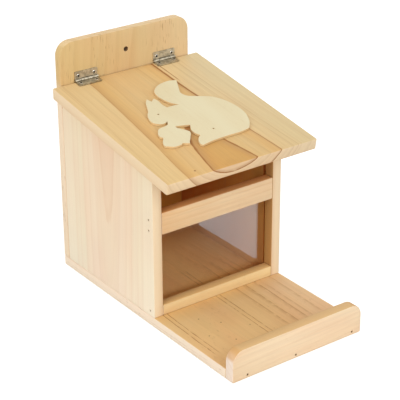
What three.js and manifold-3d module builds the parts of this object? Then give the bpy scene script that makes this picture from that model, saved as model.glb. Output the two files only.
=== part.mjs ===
// Squirrel feeder box: a wooden box with a hinged lid, a clear window and a feeding platform.
// Millimetres, +Z up. The front faces -Y. The origin is on the surface it stands on, under its middle.
import * as THREE from 'three';
import { mergeVertices } from 'three/addons/utils/BufferGeometryUtils.js';
import Module from 'manifold-3d';

const wasm = await Module();
wasm.setup();

// Box
const boxWidth = 148; // across the two sides
const sideThickness = 10;
const sideDepth = 149; // from the sides' front edges to the back board
const sideFrontHeight = 148; // above the floor board
const lidPitch = THREE.MathUtils.degToRad(9.37); // the lid and the sides' tops rise to the back
const backThickness = 9.5;
const backHeight = 235; // from the ground to the back board's top
const backCornerRadius = 14;
const hangingHoleRadius = 2.5;
const hangingHoleBelowTop = 20;

// Floor board and the lip across its front end
const floorThickness = 10;
const platformReach = 108; // in front of the sides
const lipThickness = 10.5;
const lipHeight = 30.5;
const lipCornerRadius = 12;

// Front frame
const sillHeight = 10.7;
const sillThickness = 10;
const windowHeight = 72.7; // between the sill and the rail
const railHeight = 22;
const railThickness = 10;

// Window pane and the grooves it slides in
const paneThickness = 2.5;
const paneClearance = 0.3; // on each face and at each edge of the pane
const paneBelowRailTop = 2;
const paneCornerRadius = 0.6;
const grooveInset = 11; // from the sides' front edges
const grooveDepth = 4;

// Lid
const lidWidth = 168;
const lidLength = 187.8; // along its underside
const lidThickness = 11.2;
const lidSeatGap = 0.3; // over the sides' tops
const lidBackGap = 0.4; // before the back board
const lidCornerRadius = 1.4; // of the long edges at its two ends
const lidEdgeRadius = 1.1; // along its two sides

// Boards' worn edges
const edgeRadius = 0.8;
const cornerRadius = 1.2;

// Squirrel cut-out on the lid
const cutoutThickness = 2;
const cutoutWidth = 102.4;
const cutoutHeight = 112;
const cutoutFromLidLeft = 32.7;
const cutoutFromLidBack = 40.8; // from the top of the lid's back end
const cutoutSeatGap = 0.3;

// Hinges
const hingeLength = 25.5;
const leftHingeFromMiddle = -46.5;
const rightHingeFromMiddle = 44;
const leafThickness = 0.9;
const leafReach = 8.6; // from the pin's axis to the leaf's far edge
const leafCornerRadius = 0.9;
const leafSeatGap = 0.3; // between the lid and the leaf on it
const knuckleRadius = 1.4;
const middleKnuckleLength = 12.6;
const knuckleGap = 0.3;
const pinRadius = 0.7;
const pinClearance = 0.15;
const pinLength = 26.3;

// Hinge screws
const screwHeadRadius = 1.8;
const screwHeadHeight = 1;
const screwDome = 0.3; // the head's crown over the leaf
const screwShankRadius = 1;
const screwLength = 8.5;
const screwPointLength = 2;
const screwFromLeafEnd = 3.8;
const screwFromPin = 4.5;
const recessWidth = 0.55; // the cross in the screw's head
const recessLength = 2.1;
const recessDepth = 0.6;

// Nails
const nailHeadRadius = 0.9;
const nailHeadHeight = 0.7;
const nailShankRadius = 0.55;
const nailPointLength = 1.6;
const nailLength = 25;
const cutoutNailLength = 8;
const nailSink = 0.8; // how deep a nail's head is punched in
const fastenerClearance = 0.2; // round nails and screws in their holes

// Nails' places
const lipNailHeight = 3.4;
const lipNailShares = { left: -0.39, middle: -0.02, right: 0.43 }; // of the box's width
const frontNailInset = 6.8; // of the nails into the rail and the sill, from the sides' front edges
const railNailShares = { lower: 0.22, upper: 0.7 }; // of the rail's height
const sillNailShare = 0.5; // of the sill's height
const backNailShares = { lower: 0.12, middle: 0.5, upper: 0.88 }; // of the sides' height at the back
const floorNailShares = { front: 0.18, rear: 0.82 }; // of the sides' depth
const backFloorNailShare = 0.27; // of the box's width, from its middle
const cutoutNailShares = { head: [0.26, 0.565], haunch: [0.56, 0.17] }; // of the cut-out's width and height

// Modelling
const cutOverrun = 1; // how far a cut runs past the face it opens
const nailSides = 8;
const screwSides = 16;
const knuckleSides = 20;
const holeSides = 20;
const arcSteps = 2; // steps in half a board's rounded corner
const backArcSteps = 4;
const splineSteps = 3; // steps between two points of the cut-out's outline
const bevelSteps = 2;

// Derived places
const overallDepth = lipThickness + platformReach + sideDepth + backThickness;
const frontY = lipThickness + platformReach - overallDepth / 2; // the sides' front edges
const backFaceY = frontY + sideDepth; // the back board's front face
const innerWidth = boxWidth - 2 * sideThickness;
const sideBackHeight = sideFrontHeight + sideDepth * Math.tan(lidPitch);
const railBottom = floorThickness + sillHeight + windowHeight;
const grooveWidth = paneThickness + 2 * paneClearance;
const paneHeight = railBottom + railHeight - paneBelowRailTop - floorThickness - paneClearance;
const paneWidth = innerWidth + 2 * (grooveDepth - paneClearance);
const boreRadius = pinRadius + pinClearance;
const lidY = backFaceY - lidBackGap; // the lower back edge of the lid, which is its group's origin
const lidRise = (lidY - frontY) * Math.tan(lidPitch) + lidSeatGap / Math.cos(lidPitch);
const lidZ = floorThickness + sideFrontHeight + lidRise;
const lidTopReach = lidThickness * Math.tan(lidPitch); // how far its top runs back past its underside
const pinY = backFaceY - knuckleRadius;
const pinAboveLid = leafSeatGap + knuckleRadius;
const pinInLidZ = lidThickness + pinAboveLid;
const pinInLidY = (pinY - lidY + pinInLidZ * Math.sin(lidPitch)) / Math.cos(lidPitch);
const pinZ = lidZ + pinInLidY * Math.sin(lidPitch) + pinInLidZ * Math.cos(lidPitch);

// The cut-out's outline in shares of its width and height, from its lower left corner.
// Each stretch is one smooth line, and a corner stands where two stretches meet.
const cutoutStretchShares = [
  [[0.78, 0.98], [0.745, 0.915], [0.7, 0.835], [0.675, 0.785], [0.685, 0.735], [0.71, 0.705], [0.79, 0.665],
    [0.885, 0.615], [0.945, 0.545], [0.98, 0.465], [1, 0.365], [0.995, 0.265], [0.965, 0.185],
    [0.925, 0.115], [0.86, 0.045]], // tail's inner edge, back and haunch
  [[0.86, 0.045], [0.76, 0.028], [0.6, 0.027], [0.45, 0.02], [0.315, 0]], // hind foot
  [[0.315, 0], [0.3, 0.02], [0.315, 0.065], [0.345, 0.105], [0.388, 0.135]],
  [[0.388, 0.135], [0.367, 0.18], [0.365, 0.215], [0.378, 0.255], [0.413, 0.308]], // thigh
  [[0.413, 0.308], [0.352, 0.325], [0.275, 0.343]], // belly
  [[0.275, 0.343], [0.275, 0.315], [0.3, 0.285], [0.327, 0.25], [0.34, 0.22]], // young's back
  [[0.34, 0.22], [0.327, 0.19], [0.3, 0.16], [0.27, 0.125], [0.245, 0.1], [0.225, 0.07]],
  [[0.225, 0.07], [0.195, 0.083], [0.168, 0.1]], // young's feet
  [[0.168, 0.1], [0.14, 0.083], [0.09, 0.08], [0.05, 0.088], [0.025, 0.108]],
  [[0.025, 0.108], [0.003, 0.12], [0, 0.145], [0.018, 0.18], [0.042, 0.21], [0.066, 0.236]], // young's arm
  [[0.066, 0.236], [0.049, 0.262], [0.052, 0.287], [0.068, 0.315], [0.092, 0.347], [0.12, 0.368],
    [0.165, 0.377], [0.2, 0.382], [0.235, 0.395], [0.262, 0.44]], // young's face
  [[0.262, 0.44], [0.235, 0.425], [0.2, 0.42], [0.16, 0.435], [0.132, 0.465], [0.127, 0.505],
    [0.143, 0.555], [0.165, 0.595], [0.205, 0.64], [0.23, 0.685], [0.256, 0.735], [0.28, 0.775],
    [0.32, 0.815]], // face
  [[0.32, 0.815], [0.337, 0.765]], // ears
  [[0.337, 0.765], [0.388, 0.8]],
  [[0.388, 0.8], [0.4, 0.745], [0.393, 0.685], [0.403, 0.627]],
  [[0.403, 0.627], [0.465, 0.63], [0.535, 0.623]], // nape
  [[0.535, 0.623], [0.49, 0.665], [0.464, 0.715], [0.447, 0.78], [0.446, 0.84], [0.466, 0.897],
    [0.512, 0.943], [0.572, 0.978], [0.64, 0.995], [0.71, 1], [0.78, 0.98]], // tail's outer edge
];

// Materials
function finish(color, roughness, metalness) {
  return new THREE.MeshStandardMaterial({ color, roughness, metalness });
}

const goldenWood = '#e6c182';
const paleWood = '#f0dac0';
const frameWood = '#eecda0';
const platformWood = '#d7ac76';
const plywood = '#e8dbb4';
const steel = '#a8a49c';
const clearPlastic = '#b9a58c';
const woodFinish = { roughness: 0.7, metalness: 0 };
const steelFinish = { roughness: 0.35, metalness: 1 };
const plasticFinish = { roughness: 0.08, metalness: 0 };

// Solids
function meshOf(name, geometry, color, surface) {
  const mesh = new THREE.Mesh(geometry, finish(color, surface.roughness, surface.metalness));
  mesh.name = name;
  return mesh;
}

// The geometry of one mesh as a closed solid, seen from the frame of another.
function solidIn(frame, mesh) {
  frame.updateWorldMatrix(true, false);
  mesh.updateWorldMatrix(true, false);
  const geometry = mesh.geometry.clone();
  geometry.applyMatrix4(frame.matrixWorld.clone().invert().multiply(mesh.matrixWorld));
  geometry.deleteAttribute('normal');
  geometry.deleteAttribute('uv');
  const merged = mergeVertices(geometry);
  const vertProperties = new Float32Array(merged.getAttribute('position').array);
  const triVerts = new Uint32Array(merged.index.array);
  return new wasm.Manifold(new wasm.Mesh({ numProp: 3, vertProperties, triVerts }));
}

function geometryOf(solid) {
  const { vertProperties, triVerts } = solid.getMesh();
  const geometry = new THREE.BufferGeometry();
  geometry.setAttribute('position', new THREE.BufferAttribute(vertProperties, 3));
  geometry.setIndex(new THREE.BufferAttribute(triVerts, 1));
  geometry.computeVertexNormals();
  return geometry;
}

// Takes each cutter, where it stands, out of the piece, where that stands.
function cut(piece, cutters) {
  let solid = solidIn(piece, piece);
  for (const cutter of cutters) {
    solid = solid.subtract(solidIn(piece, cutter));
  }
  piece.geometry = geometryOf(solid);
}

// Joins the other meshes, where they stand, to the piece.
function join(piece, others) {
  let solid = solidIn(piece, piece);
  for (const other of others) {
    solid = solid.add(solidIn(piece, other));
  }
  piece.geometry = geometryOf(solid);
}

// A convex outline through corners of [across, up, radius], counterclockwise, drawn in by an inset.
function roundedOutline(corners, inset) {
  const shape = new THREE.Shape();
  corners.forEach(([x, y, radius], index) => {
    const corner = new THREE.Vector2(x, y);
    const [previousX, previousY] = corners.at(index - 1);
    const [nextX, nextY] = corners[(index + 1) % corners.length];
    const towardsPrevious = new THREE.Vector2(previousX, previousY).sub(corner).normalize();
    const towardsNext = new THREE.Vector2(nextX, nextY).sub(corner).normalize();
    const halfAngle = Math.acos(towardsPrevious.dot(towardsNext)) / 2;
    const bisector = towardsPrevious.clone().add(towardsNext).normalize();
    const centre = corner.clone().addScaledVector(bisector, radius / Math.sin(halfAngle));
    const start = Math.atan2(towardsPrevious.x, -towardsPrevious.y);
    const end = Math.atan2(-towardsNext.x, towardsNext.y);
    shape.absarc(centre.x, centre.y, radius - inset, start, end, false);
  });
  shape.closePath();
  return shape;
}

// A board of that outline, rounded along its edges, from zero up to its thickness.
function boardGeometry(corners, thickness, edge, steps) {
  const geometry = new THREE.ExtrudeGeometry(roundedOutline(corners, edge), {
    depth: thickness - 2 * edge,
    bevelThickness: edge,
    bevelSize: edge,
    bevelSegments: bevelSteps,
    curveSegments: steps,
  });
  geometry.translate(0, 0, edge);
  return geometry;
}

// The corners of a rectangle, each with the same radius.
function rectangle(left, bottom, right, top, radius) {
  return [[left, bottom, radius], [right, bottom, radius], [right, top, radius], [left, top, radius]];
}

// Turns a geometry drawn across and up, with its thickness towards the viewer, to face -Y.
function faceFront(geometry) {
  return geometry.applyMatrix4(new THREE.Matrix4().makeBasis(
    new THREE.Vector3(1, 0, 0),
    new THREE.Vector3(0, 0, 1),
    new THREE.Vector3(0, -1, 0),
  ));
}

// Turns a geometry drawn from front to back and up so that its thickness runs along +X.
function faceSide(geometry) {
  return geometry.applyMatrix4(new THREE.Matrix4().makeBasis(
    new THREE.Vector3(0, 1, 0),
    new THREE.Vector3(0, 0, 1),
    new THREE.Vector3(1, 0, 0),
  ));
}

// A plain block from its lowest corner, to cut with.
function block(width, depth, height) {
  const geometry = new THREE.BoxGeometry(width, depth, height);
  geometry.translate(width / 2, depth / 2, height / 2);
  return new THREE.Mesh(geometry);
}

// A turned shape about its own Y axis, from a profile of [radius, height].
function turned(profile, sides) {
  const points = profile.map(([radius, height]) => new THREE.Vector2(radius, height));
  return new THREE.LatheGeometry(points, sides);
}

// A straight rod along X, centred.
function rodAlongX(radius, length, sides) {
  const rod = new THREE.Mesh(new THREE.CylinderGeometry(radius, radius, length, sides));
  rod.rotation.z = Math.PI / 2;
  return rod;
}

// Fasteners
// A nail's profile under the surface it is punched into. Its hole is wider and open to the surface.
function nailProfile(length, grow) {
  const top = grow > 0 ? cutOverrun : -nailSink;
  const neck = -nailSink - nailHeadHeight - grow;
  const tip = -nailSink - length - grow;
  return [
    [0, tip],
    [nailShankRadius + grow, tip + nailPointLength],
    [nailShankRadius + grow, neck],
    [nailHeadRadius + grow, neck],
    [nailHeadRadius + grow, top],
    [0, top],
  ];
}

// A countersunk screw's profile, with zero where its head is flush. Its hole is wider and open above.
function screwProfile(grow) {
  const shank = screwShankRadius + grow;
  const head = screwHeadRadius + grow;
  const tip = -screwLength - grow;
  const top = grow > 0 ? [[head, cutOverrun], [0, cutOverrun]] : [[head / 2, screwDome], [0, screwDome]];
  return [[0, tip], [shank, tip + screwPointLength], [shank, -screwHeadHeight], [head, 0], ...top];
}

// Stands a fastener, or the cutter of its hole, at a point with its head outwards.
function stand(mesh, point, outwards) {
  mesh.position.copy(point);
  mesh.quaternion.setFromUnitVectors(new THREE.Vector3(0, 1, 0), outwards);
  return mesh;
}

// Drives a nail with its hole through the pieces and adds it beside them.
function driveNail(group, name, point, outwards, length, pieces) {
  const nail = meshOf(name, turned(nailProfile(length, 0), nailSides), steel, steelFinish);
  const hole = new THREE.Mesh(turned(nailProfile(length, fastenerClearance), nailSides));
  group.add(stand(nail, point, outwards), stand(hole, point, outwards));
  pieces.forEach((piece) => cut(piece, [hole]));
  group.remove(hole);
}

// The cross in a screw's head.
function recessCutters() {
  return [[recessLength, recessWidth], [recessWidth, recessLength]].map(([across, along]) => {
    const slot = block(across, recessDepth + cutOverrun, along);
    slot.position.set(-across / 2, screwDome - recessDepth, -along / 2);
    return slot;
  });
}

function driveScrew(group, name, point, outwards, pieces) {
  const screw = meshOf(name, turned(screwProfile(0), screwSides), steel, steelFinish);
  cut(screw, recessCutters());
  const hole = new THREE.Mesh(turned(screwProfile(fastenerClearance), screwSides));
  group.add(stand(screw, point, outwards), stand(hole, point, outwards));
  pieces.forEach((piece) => cut(piece, [hole]));
  group.remove(hole);
}

// Boards
function makeBackBoard() {
  const half = boxWidth / 2;
  const corners = [
    [-half, floorThickness, cornerRadius],
    [half, floorThickness, cornerRadius],
    [half, backHeight, backCornerRadius],
    [-half, backHeight, backCornerRadius],
  ];
  const geometry = faceFront(boardGeometry(corners, backThickness, edgeRadius, backArcSteps));
  const board = meshOf('back_board', geometry, goldenWood, woodFinish);
  board.position.y = backFaceY + backThickness;
  const drill = new THREE.Mesh(new THREE.CylinderGeometry(
    hangingHoleRadius,
    hangingHoleRadius,
    backThickness + 2 * cutOverrun,
    holeSides,
  ));
  drill.position.set(0, backFaceY + backThickness / 2, backHeight - hangingHoleBelowTop);
  cut(board, [drill]);
  return board;
}

// A side stands on the floor board. The groove for the pane is open at its foot and at its top.
function makeSide(name, left) {
  const corners = [
    [0, 0, cornerRadius],
    [sideDepth, 0, cornerRadius],
    [sideDepth, sideBackHeight, cornerRadius],
    [0, sideFrontHeight, cornerRadius],
  ];
  const geometry = faceSide(boardGeometry(corners, sideThickness, edgeRadius, arcSteps));
  const side = meshOf(name, geometry, paleWood, woodFinish);
  side.position.set(left, frontY, floorThickness);
  const groove = block(grooveDepth + cutOverrun, grooveWidth, sideBackHeight + 2 * cutOverrun);
  const innerFace = left < 0 ? left + sideThickness - grooveDepth : left - cutOverrun;
  groove.position.set(innerFace, frontY + grooveInset, floorThickness - cutOverrun);
  cut(side, [groove]);
  return side;
}

function makeFloorBoard() {
  const half = boxWidth / 2;
  const length = platformReach + sideDepth + backThickness;
  const corners = rectangle(-half, 0, half, length, cornerRadius);
  const geometry = boardGeometry(corners, floorThickness, edgeRadius, arcSteps);
  const board = meshOf('floor_board', geometry, platformWood, woodFinish);
  board.position.y = frontY - platformReach;
  return board;
}

function makeFrontLip() {
  const half = boxWidth / 2;
  const corners = [
    [-half, 0, cornerRadius],
    [half, 0, cornerRadius],
    [half, lipHeight, lipCornerRadius],
    [-half, lipHeight, lipCornerRadius],
  ];
  const geometry = faceFront(boardGeometry(corners, lipThickness, edgeRadius, backArcSteps));
  const lip = meshOf('front_lip', geometry, frameWood, woodFinish);
  lip.position.y = frontY - platformReach;
  return lip;
}

// A bar between the sides, flush with their front edges.
function makeCrossBar(name, bottom, height, thickness) {
  const half = innerWidth / 2;
  const corners = rectangle(-half, 0, half, height, cornerRadius);
  const geometry = faceFront(boardGeometry(corners, thickness, edgeRadius, arcSteps));
  const bar = meshOf(name, geometry, frameWood, woodFinish);
  bar.position.set(0, frontY + thickness, bottom);
  return bar;
}

function makeWindowPane() {
  const half = paneWidth / 2;
  const corners = rectangle(-half, 0, half, paneHeight, paneCornerRadius);
  const shape = roundedOutline(corners, 0);
  const geometry = new THREE.ExtrudeGeometry(shape, {
    depth: paneThickness,
    bevelEnabled: false,
    curveSegments: arcSteps,
  });
  const pane = meshOf('window_pane', faceFront(geometry), clearPlastic, plasticFinish);
  const backOfPane = frontY + grooveInset + paneClearance + paneThickness;
  pane.position.set(0, backOfPane, floorThickness + paneClearance);
  return pane;
}

// The lid's pieces are placed in the lid's own frame: its underside is at zero and it runs to -Y.
// Its back end is cut upright, along the back board.
function makeLidBoard() {
  const corners = [
    [-lidLength, 0, lidCornerRadius],
    [0, 0, lidCornerRadius],
    [lidTopReach, lidThickness, lidCornerRadius],
    [-lidLength, lidThickness, lidCornerRadius],
  ];
  const geometry = faceSide(boardGeometry(corners, lidWidth, lidEdgeRadius, arcSteps));
  const board = meshOf('lid_board', geometry, goldenWood, woodFinish);
  board.position.x = -lidWidth / 2;
  return board;
}

// A point on the cut-out in the lid's frame, from shares of its width and height.
function cutoutPoint([across, up]) {
  const x = cutoutFromLidLeft - lidWidth / 2 + across * cutoutWidth;
  const y = lidTopReach - cutoutFromLidBack - (1 - up) * cutoutHeight;
  return new THREE.Vector2(x, y);
}

function makeCutout() {
  const shape = new THREE.Shape();
  const first = cutoutPoint(cutoutStretchShares[0][0]);
  shape.moveTo(first.x, first.y);
  for (const stretch of cutoutStretchShares) {
    const [, ...others] = stretch.map(cutoutPoint);
    shape.splineThru(others);
  }
  const geometry = new THREE.ExtrudeGeometry(shape, {
    depth: cutoutThickness,
    bevelEnabled: false,
    curveSegments: splineSteps,
  });
  const cutout = meshOf('squirrel_cutout', geometry, plywood, woodFinish);
  cutout.position.z = lidThickness + cutoutSeatGap;
  return cutout;
}

// Hinges
// A flat leaf that runs from the pin's axis along +Y, with its seat at zero and its middle at X zero.
function leafPlate(name) {
  const half = hingeLength / 2;
  const corners = [
    [-half, 0, leafCornerRadius],
    [half, 0, leafCornerRadius],
    [half, leafReach, leafCornerRadius],
    [-half, leafReach, leafCornerRadius],
  ];
  const geometry = new THREE.ExtrudeGeometry(roundedOutline(corners, 0), {
    depth: leafThickness,
    bevelEnabled: false,
    curveSegments: arcSteps,
  });
  return meshOf(name, geometry, steel, steelFinish);
}

function knuckleBarrel(middle, length, radius) {
  const barrel = rodAlongX(radius, length, knuckleSides);
  barrel.position.set(middle, 0, knuckleRadius);
  return barrel;
}

// The leaf on the back board holds the two outer knuckles, and the leaf on the lid holds the middle one.
function makeLeaf(name, holdsMiddle) {
  const leaf = leafPlate(name);
  const outerLength = (hingeLength - middleKnuckleLength) / 2 - knuckleGap;
  const outerMiddle = (hingeLength - outerLength) / 2;
  const roomRadius = knuckleRadius + knuckleGap;
  const outer = [-outerMiddle, outerMiddle].map((middle) => (
    knuckleBarrel(middle, outerLength, knuckleRadius)
  ));
  const outerRoomLength = outerLength + knuckleGap + cutOverrun;
  const outerRoomMiddle = (middleKnuckleLength + outerRoomLength) / 2;
  const outerRoom = [-outerRoomMiddle, outerRoomMiddle].map((middle) => (
    knuckleBarrel(middle, outerRoomLength, roomRadius)
  ));
  const middle = knuckleBarrel(0, middleKnuckleLength, knuckleRadius);
  const middleRoom = knuckleBarrel(0, middleKnuckleLength + 2 * knuckleGap, roomRadius);
  const bore = knuckleBarrel(0, hingeLength + 2 * cutOverrun, boreRadius);
  cut(leaf, holdsMiddle ? outerRoom : [middleRoom]);
  join(leaf, holdsMiddle ? [middle] : outer);
  cut(leaf, [bore]);
  return leaf;
}

// The places of a leaf's two screws, in the leaf's own frame.
function screwPlaces() {
  const across = hingeLength / 2 - screwFromLeafEnd;
  return { left: [-across, screwFromPin], right: [across, screwFromPin] };
}

function makeHinge(side, middle, housing, lid, backBoard, lidBoard) {
  const boardLeaf = makeLeaf(`${side}_hinge_board_leaf`, false);
  boardLeaf.rotation.x = Math.PI / 2;
  boardLeaf.position.set(middle, backFaceY, pinZ);
  housing.add(boardLeaf);
  const lidLeaf = makeLeaf(`${side}_hinge_lid_leaf`, true);
  lidLeaf.rotation.z = Math.PI;
  lidLeaf.position.set(middle, pinInLidY, lidThickness + leafSeatGap);
  lid.add(lidLeaf);
  const rod = rodAlongX(pinRadius, pinLength, screwSides);
  const pin = meshOf(`${side}_hinge_pin`, rod.geometry, steel, steelFinish);
  pin.rotation.copy(rod.rotation);
  pin.position.set(middle, pinY, pinZ);
  housing.add(pin);
  const forwards = new THREE.Vector3(0, -1, 0);
  const upwards = new THREE.Vector3(0, 0, 1);
  const leafTop = lidThickness + leafSeatGap + leafThickness;
  for (const [place, [across, fromPin]] of Object.entries(screwPlaces())) {
    const onBoard = new THREE.Vector3(middle + across, backFaceY - leafThickness, pinZ + fromPin);
    driveScrew(housing, `${side}_hinge_board_screw_${place}`, onBoard, forwards, [boardLeaf, backBoard]);
    const onLid = new THREE.Vector3(middle + across, pinInLidY - fromPin, leafTop);
    driveScrew(lid, `${side}_hinge_lid_screw_${place}`, onLid, upwards, [lidLeaf, lidBoard]);
  }
}

// Nails
function nailLip(housing, lip, floor) {
  const outwards = new THREE.Vector3(0, -1, 0);
  for (const [place, share] of Object.entries(lipNailShares)) {
    const point = new THREE.Vector3(share * boxWidth, frontY - platformReach - lipThickness, lipNailHeight);
    driveNail(housing, `lip_nail_${place}`, point, outwards, nailLength, [lip, floor]);
  }
}

function nailSide(housing, name, direction, side, rail, sill, backBoard, floor) {
  const outwards = new THREE.Vector3(direction, 0, 0);
  const backwards = new THREE.Vector3(0, 1, 0);
  const downwards = new THREE.Vector3(0, 0, -1);
  const outerFace = direction * boxWidth / 2;
  const middleOfBoard = direction * (boxWidth - sideThickness) / 2;
  for (const [place, share] of Object.entries(railNailShares)) {
    const point = new THREE.Vector3(outerFace, frontY + frontNailInset, railBottom + share * railHeight);
    driveNail(housing, `${name}_rail_nail_${place}`, point, outwards, nailLength, [side, rail]);
  }
  const sillNailHeight = floorThickness + sillNailShare * sillHeight;
  const sillPoint = new THREE.Vector3(outerFace, frontY + frontNailInset, sillNailHeight);
  driveNail(housing, `${name}_sill_nail`, sillPoint, outwards, nailLength, [side, sill]);
  for (const [place, share] of Object.entries(backNailShares)) {
    const height = floorThickness + share * sideBackHeight;
    const point = new THREE.Vector3(middleOfBoard, backFaceY + backThickness, height);
    driveNail(housing, `${name}_back_nail_${place}`, point, backwards, nailLength, [backBoard, side]);
  }
  for (const [place, share] of Object.entries(floorNailShares)) {
    const point = new THREE.Vector3(middleOfBoard, frontY + share * sideDepth, 0);
    driveNail(housing, `${name}_floor_nail_${place}`, point, downwards, nailLength, [floor, side]);
  }
  const fromMiddle = direction * backFloorNailShare * boxWidth;
  const backPoint = new THREE.Vector3(fromMiddle, backFaceY + backThickness / 2, 0);
  driveNail(housing, `${name}_back_floor_nail`, backPoint, downwards, nailLength, [floor, backBoard]);
}

function nailCutout(lid, cutout, lidBoard) {
  const upwards = new THREE.Vector3(0, 0, 1);
  for (const [place, shares] of Object.entries(cutoutNailShares)) {
    const { x, y } = cutoutPoint(shares);
    const point = new THREE.Vector3(x, y, lidThickness + cutoutSeatGap + cutoutThickness);
    driveNail(lid, `cutout_nail_${place}`, point, upwards, cutoutNailLength, [cutout, lidBoard]);
  }
}

// Assembly
function makeFeeder() {
  const feeder = new THREE.Group();
  const housing = new THREE.Group();
  const lid = new THREE.Group();
  lid.position.set(0, lidY, lidZ);
  lid.rotation.x = lidPitch;
  feeder.add(housing, lid);
  const backBoard = makeBackBoard();
  const floor = makeFloorBoard();
  const lip = makeFrontLip();
  const leftSide = makeSide('left_side', -boxWidth / 2);
  const rightSide = makeSide('right_side', boxWidth / 2 - sideThickness);
  const rail = makeCrossBar('top_rail', railBottom, railHeight, railThickness);
  const sill = makeCrossBar('window_sill', floorThickness, sillHeight, sillThickness);
  housing.add(backBoard, floor, lip, leftSide, rightSide, rail, sill, makeWindowPane());
  const lidBoard = makeLidBoard();
  const cutout = makeCutout();
  lid.add(lidBoard, cutout);
  makeHinge('left', leftHingeFromMiddle, housing, lid, backBoard, lidBoard);
  makeHinge('right', rightHingeFromMiddle, housing, lid, backBoard, lidBoard);
  nailLip(housing, lip, floor);
  nailSide(housing, 'left', -1, leftSide, rail, sill, backBoard, floor);
  nailSide(housing, 'right', 1, rightSide, rail, sill, backBoard, floor);
  nailCutout(lid, cutout, lidBoard);
  return feeder;
}

export default makeFeeder();
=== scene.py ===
"""A squirrel feeder box: its finishes, camera, lights and floor.

The scene is in metres and the boards' grain in millimetres, with +Z up and the front towards -Y.
"""

import math
from dataclasses import dataclass

import bpy
from mathutils import Matrix, Vector


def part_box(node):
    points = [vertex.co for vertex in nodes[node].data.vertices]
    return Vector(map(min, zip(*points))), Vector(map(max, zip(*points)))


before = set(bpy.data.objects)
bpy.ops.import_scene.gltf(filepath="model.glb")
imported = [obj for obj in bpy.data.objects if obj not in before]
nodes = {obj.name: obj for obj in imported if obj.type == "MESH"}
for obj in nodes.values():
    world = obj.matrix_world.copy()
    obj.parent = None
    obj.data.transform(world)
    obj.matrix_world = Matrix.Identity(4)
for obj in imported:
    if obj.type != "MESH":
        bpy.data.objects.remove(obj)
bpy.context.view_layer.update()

MILLIMETRE = 0.001
RIGHT = Vector((1, 0, 0))
BACK = Vector((0, 1, 0))
UP = Vector((0, 0, 1))
WHITE = (1, 1, 1, 1)

# Camera, at the photograph's viewing angle
CAMERA_AZIMUTH = math.radians(-36.284)
CAMERA_ELEVATION = math.radians(25.581)
CAMERA_ROLL = math.radians(-0.259)
CAMERA_DISTANCE = 1.10384
CAMERA_TARGET = Vector((-0.13291, -0.17183, 0.20661))
SENSOR_WIDTH = 36.0          # mm
FOCAL_LENGTH = 129.586       # mm

# Light
WORLD_STRENGTH = 0.6         # as it lights the box
BACKGROUND_STRENGTH = 1.0    # and as the camera sees it
FLOOR_HALF_SIZE = 12.0
FLOOR_GLOW = 0.6
FLOOR_COLOUR = "#cececd"
LAMPS = {
    "left": {"place": (-2.1, -0.5, 1.0), "size": 1.8, "energy": 27.0, "colour": "#fffdf8"},
    "front": {"place": (0.2, -2.4, 1.0), "size": 1.8, "energy": 25.0, "colour": "#fffdf8"},
    "back": {"place": (0.9, 2.3, 0.5), "size": 1.8, "energy": 14.0, "colour": "#fffdf8"},
    "top": {"place": (0.1, 0.3, 2.2), "size": 1.5, "energy": 6.0, "colour": "#ffffff"},
}
LAMP_TARGET = Vector((0, 0, 0.1))

# Lid
LID_PITCH = math.radians(9.37)
LID_ALONG = Vector((0, math.cos(LID_PITCH), math.sin(LID_PITCH)))
LID_INWARDS = Vector((0, math.sin(LID_PITCH), -math.cos(LID_PITCH)))

# Shapes that the finishes follow
EASED_EDGE = 0.9 * MILLIMETRE
EASED_METAL_EDGE = 0.2 * MILLIMETRE
KNUCKLE_CLEARANCE = 0.01 * MILLIMETRE
SCREW_RECESS = 0.95 * MILLIMETRE        # radius of its dark middle, painted shade in the recess
RECESS_SOFTNESS = 0.3 * MILLIMETRE
WELD_DISTANCE = 0.001 * MILLIMETRE
SMOOTH_ANGLE = math.radians(40)
HANGING_HOLE_DROP = 20.0     # mm, from the back board's top to the middle of its hole
HANGING_HOLE_RADIUS = 2.5    # mm
GROOVE_STRIP = 3.2           # mm, how far back from the pane's front its groove's painted shade goes
COVERED_STRIP = 9.0          # mm, how wide a board is plain where a side stands on or against it
COVERED_HEIGHT = 170.0       # mm, how far up the back board is plain there

# Patterns in the boards, in repeats per millimetre across, along and into a board
RING_BENDS = (1 / 55, 1 / 150, 1 / 55)
RING_WAVERS = (1 / 3, 1 / 16, 1 / 3)
TINT_DRIFT = (1 / 34, 1 / 110, 1 / 34)
STREAKS = (0.45, 0.008, 0.45)
HAIRS = (2.2, 0.06, 2.2)
DASHES_ACROSS = 1.4
DASH_PATCHES = (0.03, 0.015, 0.03)
VENEER_DRIFT = (0.03, 0.012, 0.03)
VENEER_STREAKS = (0.35, 0.01, 0.35)
VENEER_HAIRS = (2.4, 0.1, 2.4)

# Patterns in the metal and the pane, in repeats per metre from side to side, to the back and up
DULL_PATCHES = 300.0
SCRATCHES = (500, 4200, 4200)
PANE_RIPPLE = (30, 30, 30)
PANE_SMEAR = (120, 120, 60)

# The values between which a pattern's noise goes from unseen to full
DRIFT_SPAN = (0.35, 0.65)
DASH_SPAN = (0.65, 0.73)
DASH_PATCH_SPAN = (0.4, 0.66)
VENEER_STREAK_SPAN = (0.5, 0.75)
DULL_SPAN = (0.4, 0.62)

# How squarely a surface faces a direction, between not counting as that face and fully counting
BOARD_FACE = (0.6, 0.9)
PLY_EDGE = (0.75, 0.45)
BORE_WALL = (0.6, 0.3)
PANE_FACE = (0.2, 0.8)
SLANT_CUT = (0.1, 0.4)       # across and along, multiplied

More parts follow.
